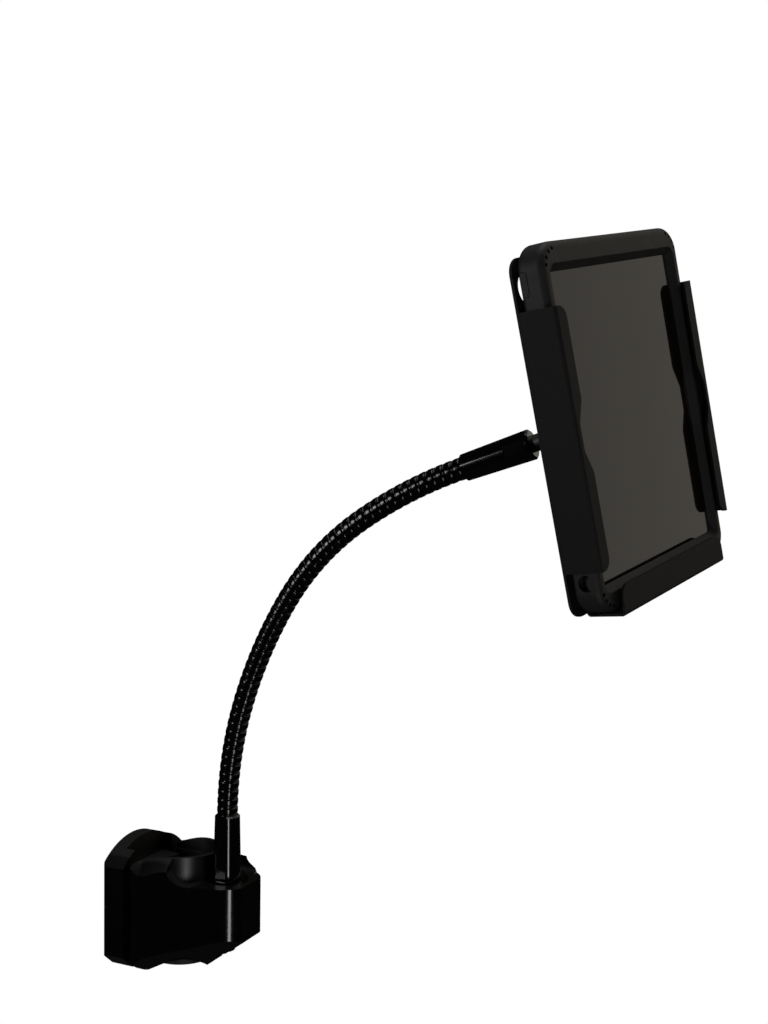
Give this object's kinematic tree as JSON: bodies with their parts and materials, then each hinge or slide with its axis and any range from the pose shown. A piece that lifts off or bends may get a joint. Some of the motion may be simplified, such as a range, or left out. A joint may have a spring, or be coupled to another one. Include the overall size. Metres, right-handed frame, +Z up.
{
  "type": "tablet holder",
  "caption": "Tablet holder with a clamp for a round pole, a bendable gooseneck, a ball joint with a turntable, and a folded sheet cradle that holds a tablet in a rubber bumper.",
  "frame": {"origin": "on the pole's axis, at half the height of the clamp's lined bore", "axes": "+Z up along the pole, +X from the pole to the neck's foot, which is also the way the neck leans; the near side of the picture is -Y"},
  "size_m": [0.4673, 0.2106, 0.5836],
  "materials": {
    "clamp_plastic": "glossy black moulding",
    "liner_rubber": "matte black rubber",
    "insert_brass": "knurled brass",
    "washer_steel": "zinc plated",
    "screw_steel": "black oxide",
    "ferrule_plastic": "glossy black moulding",
    "stud_steel": "matte grey steel",
    "cup_nylon": "natural nylon",
    "socket_metal": "black anodised",
    "socket_plastic": "fine grain black",
    "neck_coating": "glossy black",
    "coated_sheet": "black powder coat, fine texture",
    "pad_foam": "closed-cell foam",
    "bumper_rubber": "matte black rubber",
    "tablet_shell": "bead blasted",
    "screen": "gloss",
    "panel": "unlit display",
    "cell": "foil",
    "board": "solder mask",
    "key": "bead blasted"
  },
  "bodies": {
    "clamp": {"clamp_body": "clamp_plastic", "saddle_liner": "liner_rubber", "thread_inserts": "insert_brass", "seat_washer": "washer_steel"},
    "jaw": {"rear_jaw": "clamp_plastic", "jaw_pad": "liner_rubber", "jaw_screws": "screw_steel"},
    "neck_base": {"base_ferrule": "ferrule_plastic", "base_bolt": "screw_steel", "bolt_washer": "washer_steel", "neck_link_1": "neck_coating"},
    "neck_2": {"neck_link_2": "neck_coating"},
    "neck_3": {"neck_link_3": "neck_coating"},
    "neck_4": {"neck_link_4": "neck_coating"},
    "neck_5": {"neck_link_5": "neck_coating"},
    "neck_6": {"neck_link_6": "neck_coating"},
    "neck_7": {"neck_link_7": "neck_coating"},
    "neck_8": {"neck_link_8": "neck_coating"},
    "neck_9": {"neck_link_9": "neck_coating"},
    "neck_10": {"neck_link_10": "neck_coating"},
    "neck_11": {"neck_link_11": "neck_coating"},
    "neck_12": {"neck_link_12": "neck_coating"},
    "neck_top": {"neck_link_13": "neck_coating", "top_ferrule": "ferrule_plastic", "ball_stud": "stud_steel"},
    "ball_cup": {"friction_cup": "cup_nylon"},
    "socket": {"socket_housing": "socket_metal", "socket_ring": "socket_plastic"},
    "cradle": {"bracket_frame": "coated_sheet", "turntable_ring": "socket_metal", "ring_screws": "screw_steel", "back_pad": "pad_foam", "lip_pads": "pad_foam", "ledge_pad": "pad_foam"},
    "tablet": {"bumper": "bumper_rubber", "tablet_housing": "tablet_shell", "screen_glass": "screen", "display_panel": "panel", "battery": "cell", "main_board": "board"},
    "volume_key": {"volume_rocker": "key", "volume_cover": "bumper_rubber"},
    "power_key": {"power_button": "key", "power_cover": "bumper_rubber"}
  },
  "joints": [
    {"name": "jaw_release", "type": "slide", "parent": "clamp", "child": "jaw", "axis": [-1, 0, 0], "range_m": [0, 0.01]},
    {"name": "neck_swivel", "type": "hinge", "parent": "clamp", "child": "neck_base", "pos_m": [0.0422, 0, 0.025], "axis": [0, 0, 1], "range_deg": [-90, 90]},
    {"name": "neck_bend_1", "type": "hinge", "parent": "neck_base", "child": "neck_2", "pos_m": [0.04354, 0, 0.11154], "axis": [0, 1, 0], "range_deg": [-5.9, 5]},
    {"name": "neck_bend_2", "type": "hinge", "parent": "neck_2", "child": "neck_3", "pos_m": [0.04756, 0, 0.13983], "axis": [0, 1, 0], "range_deg": [-5.9, 5]},
    {"name": "neck_bend_3", "type": "hinge", "parent": "neck_3", "child": "neck_4", "pos_m": [0.05421, 0, 0.16762], "axis": [0, 1, 0], "range_deg": [-5.9, 5]},
    {"name": "neck_bend_4", "type": "hinge", "parent": "neck_4", "child": "neck_5", "pos_m": [0.06332, 0, 0.19471], "axis": [0, 1, 0], "range_deg": [-5.9, 5]},
    {"name": "neck_bend_5", "type": "hinge", "parent": "neck_5", "child": "neck_6", "pos_m": [0.07452, 0, 0.221], "axis": [0, 1, 0], "range_deg": [-5.9, 5]},
    {"name": "neck_bend_6", "type": "hinge", "parent": "neck_6", "child": "neck_7", "pos_m": [0.08773, 0, 0.24634], "axis": [0, 1, 0], "range_deg": [-5.9, 5]},
    {"name": "neck_bend_7", "type": "hinge", "parent": "neck_7", "child": "neck_8", "pos_m": [0.10303, 0, 0.27047], "axis": [0, 1, 0], "range_deg": [-5.9, 5]},
    {"name": "neck_bend_8", "type": "hinge", "parent": "neck_8", "child": "neck_9", "pos_m": [0.12116, 0, 0.29254], "axis": [0, 1, 0], "range_deg": [-5.9, 5]},
    {"name": "neck_bend_9", "type": "hinge", "parent": "neck_9", "child": "neck_10", "pos_m": [0.142, 0, 0.31208], "axis": [0, 1, 0], "range_deg": [-5.9, 5]},
    {"name": "neck_bend_10", "type": "hinge", "parent": "neck_10", "child": "neck_11", "pos_m": [0.16515, 0, 0.32881], "axis": [0, 1, 0], "range_deg": [-5.9, 5]},
    {"name": "neck_bend_11", "type": "hinge", "parent": "neck_11", "child": "neck_12", "pos_m": [0.18978, 0, 0.34331], "axis": [0, 1, 0], "range_deg": [-5.9, 5]},
    {"name": "neck_bend_12", "type": "hinge", "parent": "neck_12", "child": "neck_top", "pos_m": [0.21548, 0, 0.3558], "axis": [0, 1, 0], "range_deg": [-5.9, 5]},
    {"name": "ball_pan", "type": "hinge", "parent": "neck_top", "child": "ball_cup", "pos_m": [0.32109, 0, 0.39358], "axis": [0, 0, 1], "range_deg": [-9.6, 40.4]},
    {"name": "ball_tilt", "type": "hinge", "parent": "ball_cup", "child": "socket", "pos_m": [0.32109, 0, 0.39358], "axis": [-0.2656, -0.9641, 0], "range_deg": [-12.3, 37.7]},
    {"name": "cradle_turn", "type": "hinge", "parent": "socket", "child": "cradle", "pos_m": [0.32109, 0, 0.39358], "axis": [0.9583, -0.264, 0.1097], "continuous": true},
    {"name": "tablet_lift", "type": "slide", "parent": "cradle", "child": "tablet", "axis": [-0.1537, -0.152, 0.9764], "range_m": [0, 0.2]},
    {"name": "volume_press", "type": "slide", "parent": "tablet", "child": "volume_key", "axis": [0.241, 0.9525, 0.1862], "range_m": [0, 0.0004], "stiffness_N_per_m": 2000, "springref_m": -0.0004},
    {"name": "power_press", "type": "slide", "parent": "tablet", "child": "power_key", "axis": [0.1537, 0.152, -0.9764], "range_m": [0, 0.0004], "stiffness_N_per_m": 2000, "springref_m": -0.0004}
  ],
  "couplings": [
    {"joint": "neck_bend_2", "follows": "neck_bend_1", "ratio": 1},
    {"joint": "neck_bend_3", "follows": "neck_bend_1", "ratio": 1},
    {"joint": "neck_bend_4", "follows": "neck_bend_1", "ratio": 1},
    {"joint": "neck_bend_5", "follows": "neck_bend_1", "ratio": 1},
    {"joint": "neck_bend_6", "follows": "neck_bend_1", "ratio": 1},
    {"joint": "neck_bend_7", "follows": "neck_bend_1", "ratio": 1},
    {"joint": "neck_bend_8", "follows": "neck_bend_1", "ratio": 1},
    {"joint": "neck_bend_9", "follows": "neck_bend_1", "ratio": 1},
    {"joint": "neck_bend_10", "follows": "neck_bend_1", "ratio": 1},
    {"joint": "neck_bend_11", "follows": "neck_bend_1", "ratio": 1},
    {"joint": "neck_bend_12", "follows": "neck_bend_1", "ratio": 1}
  ]
}
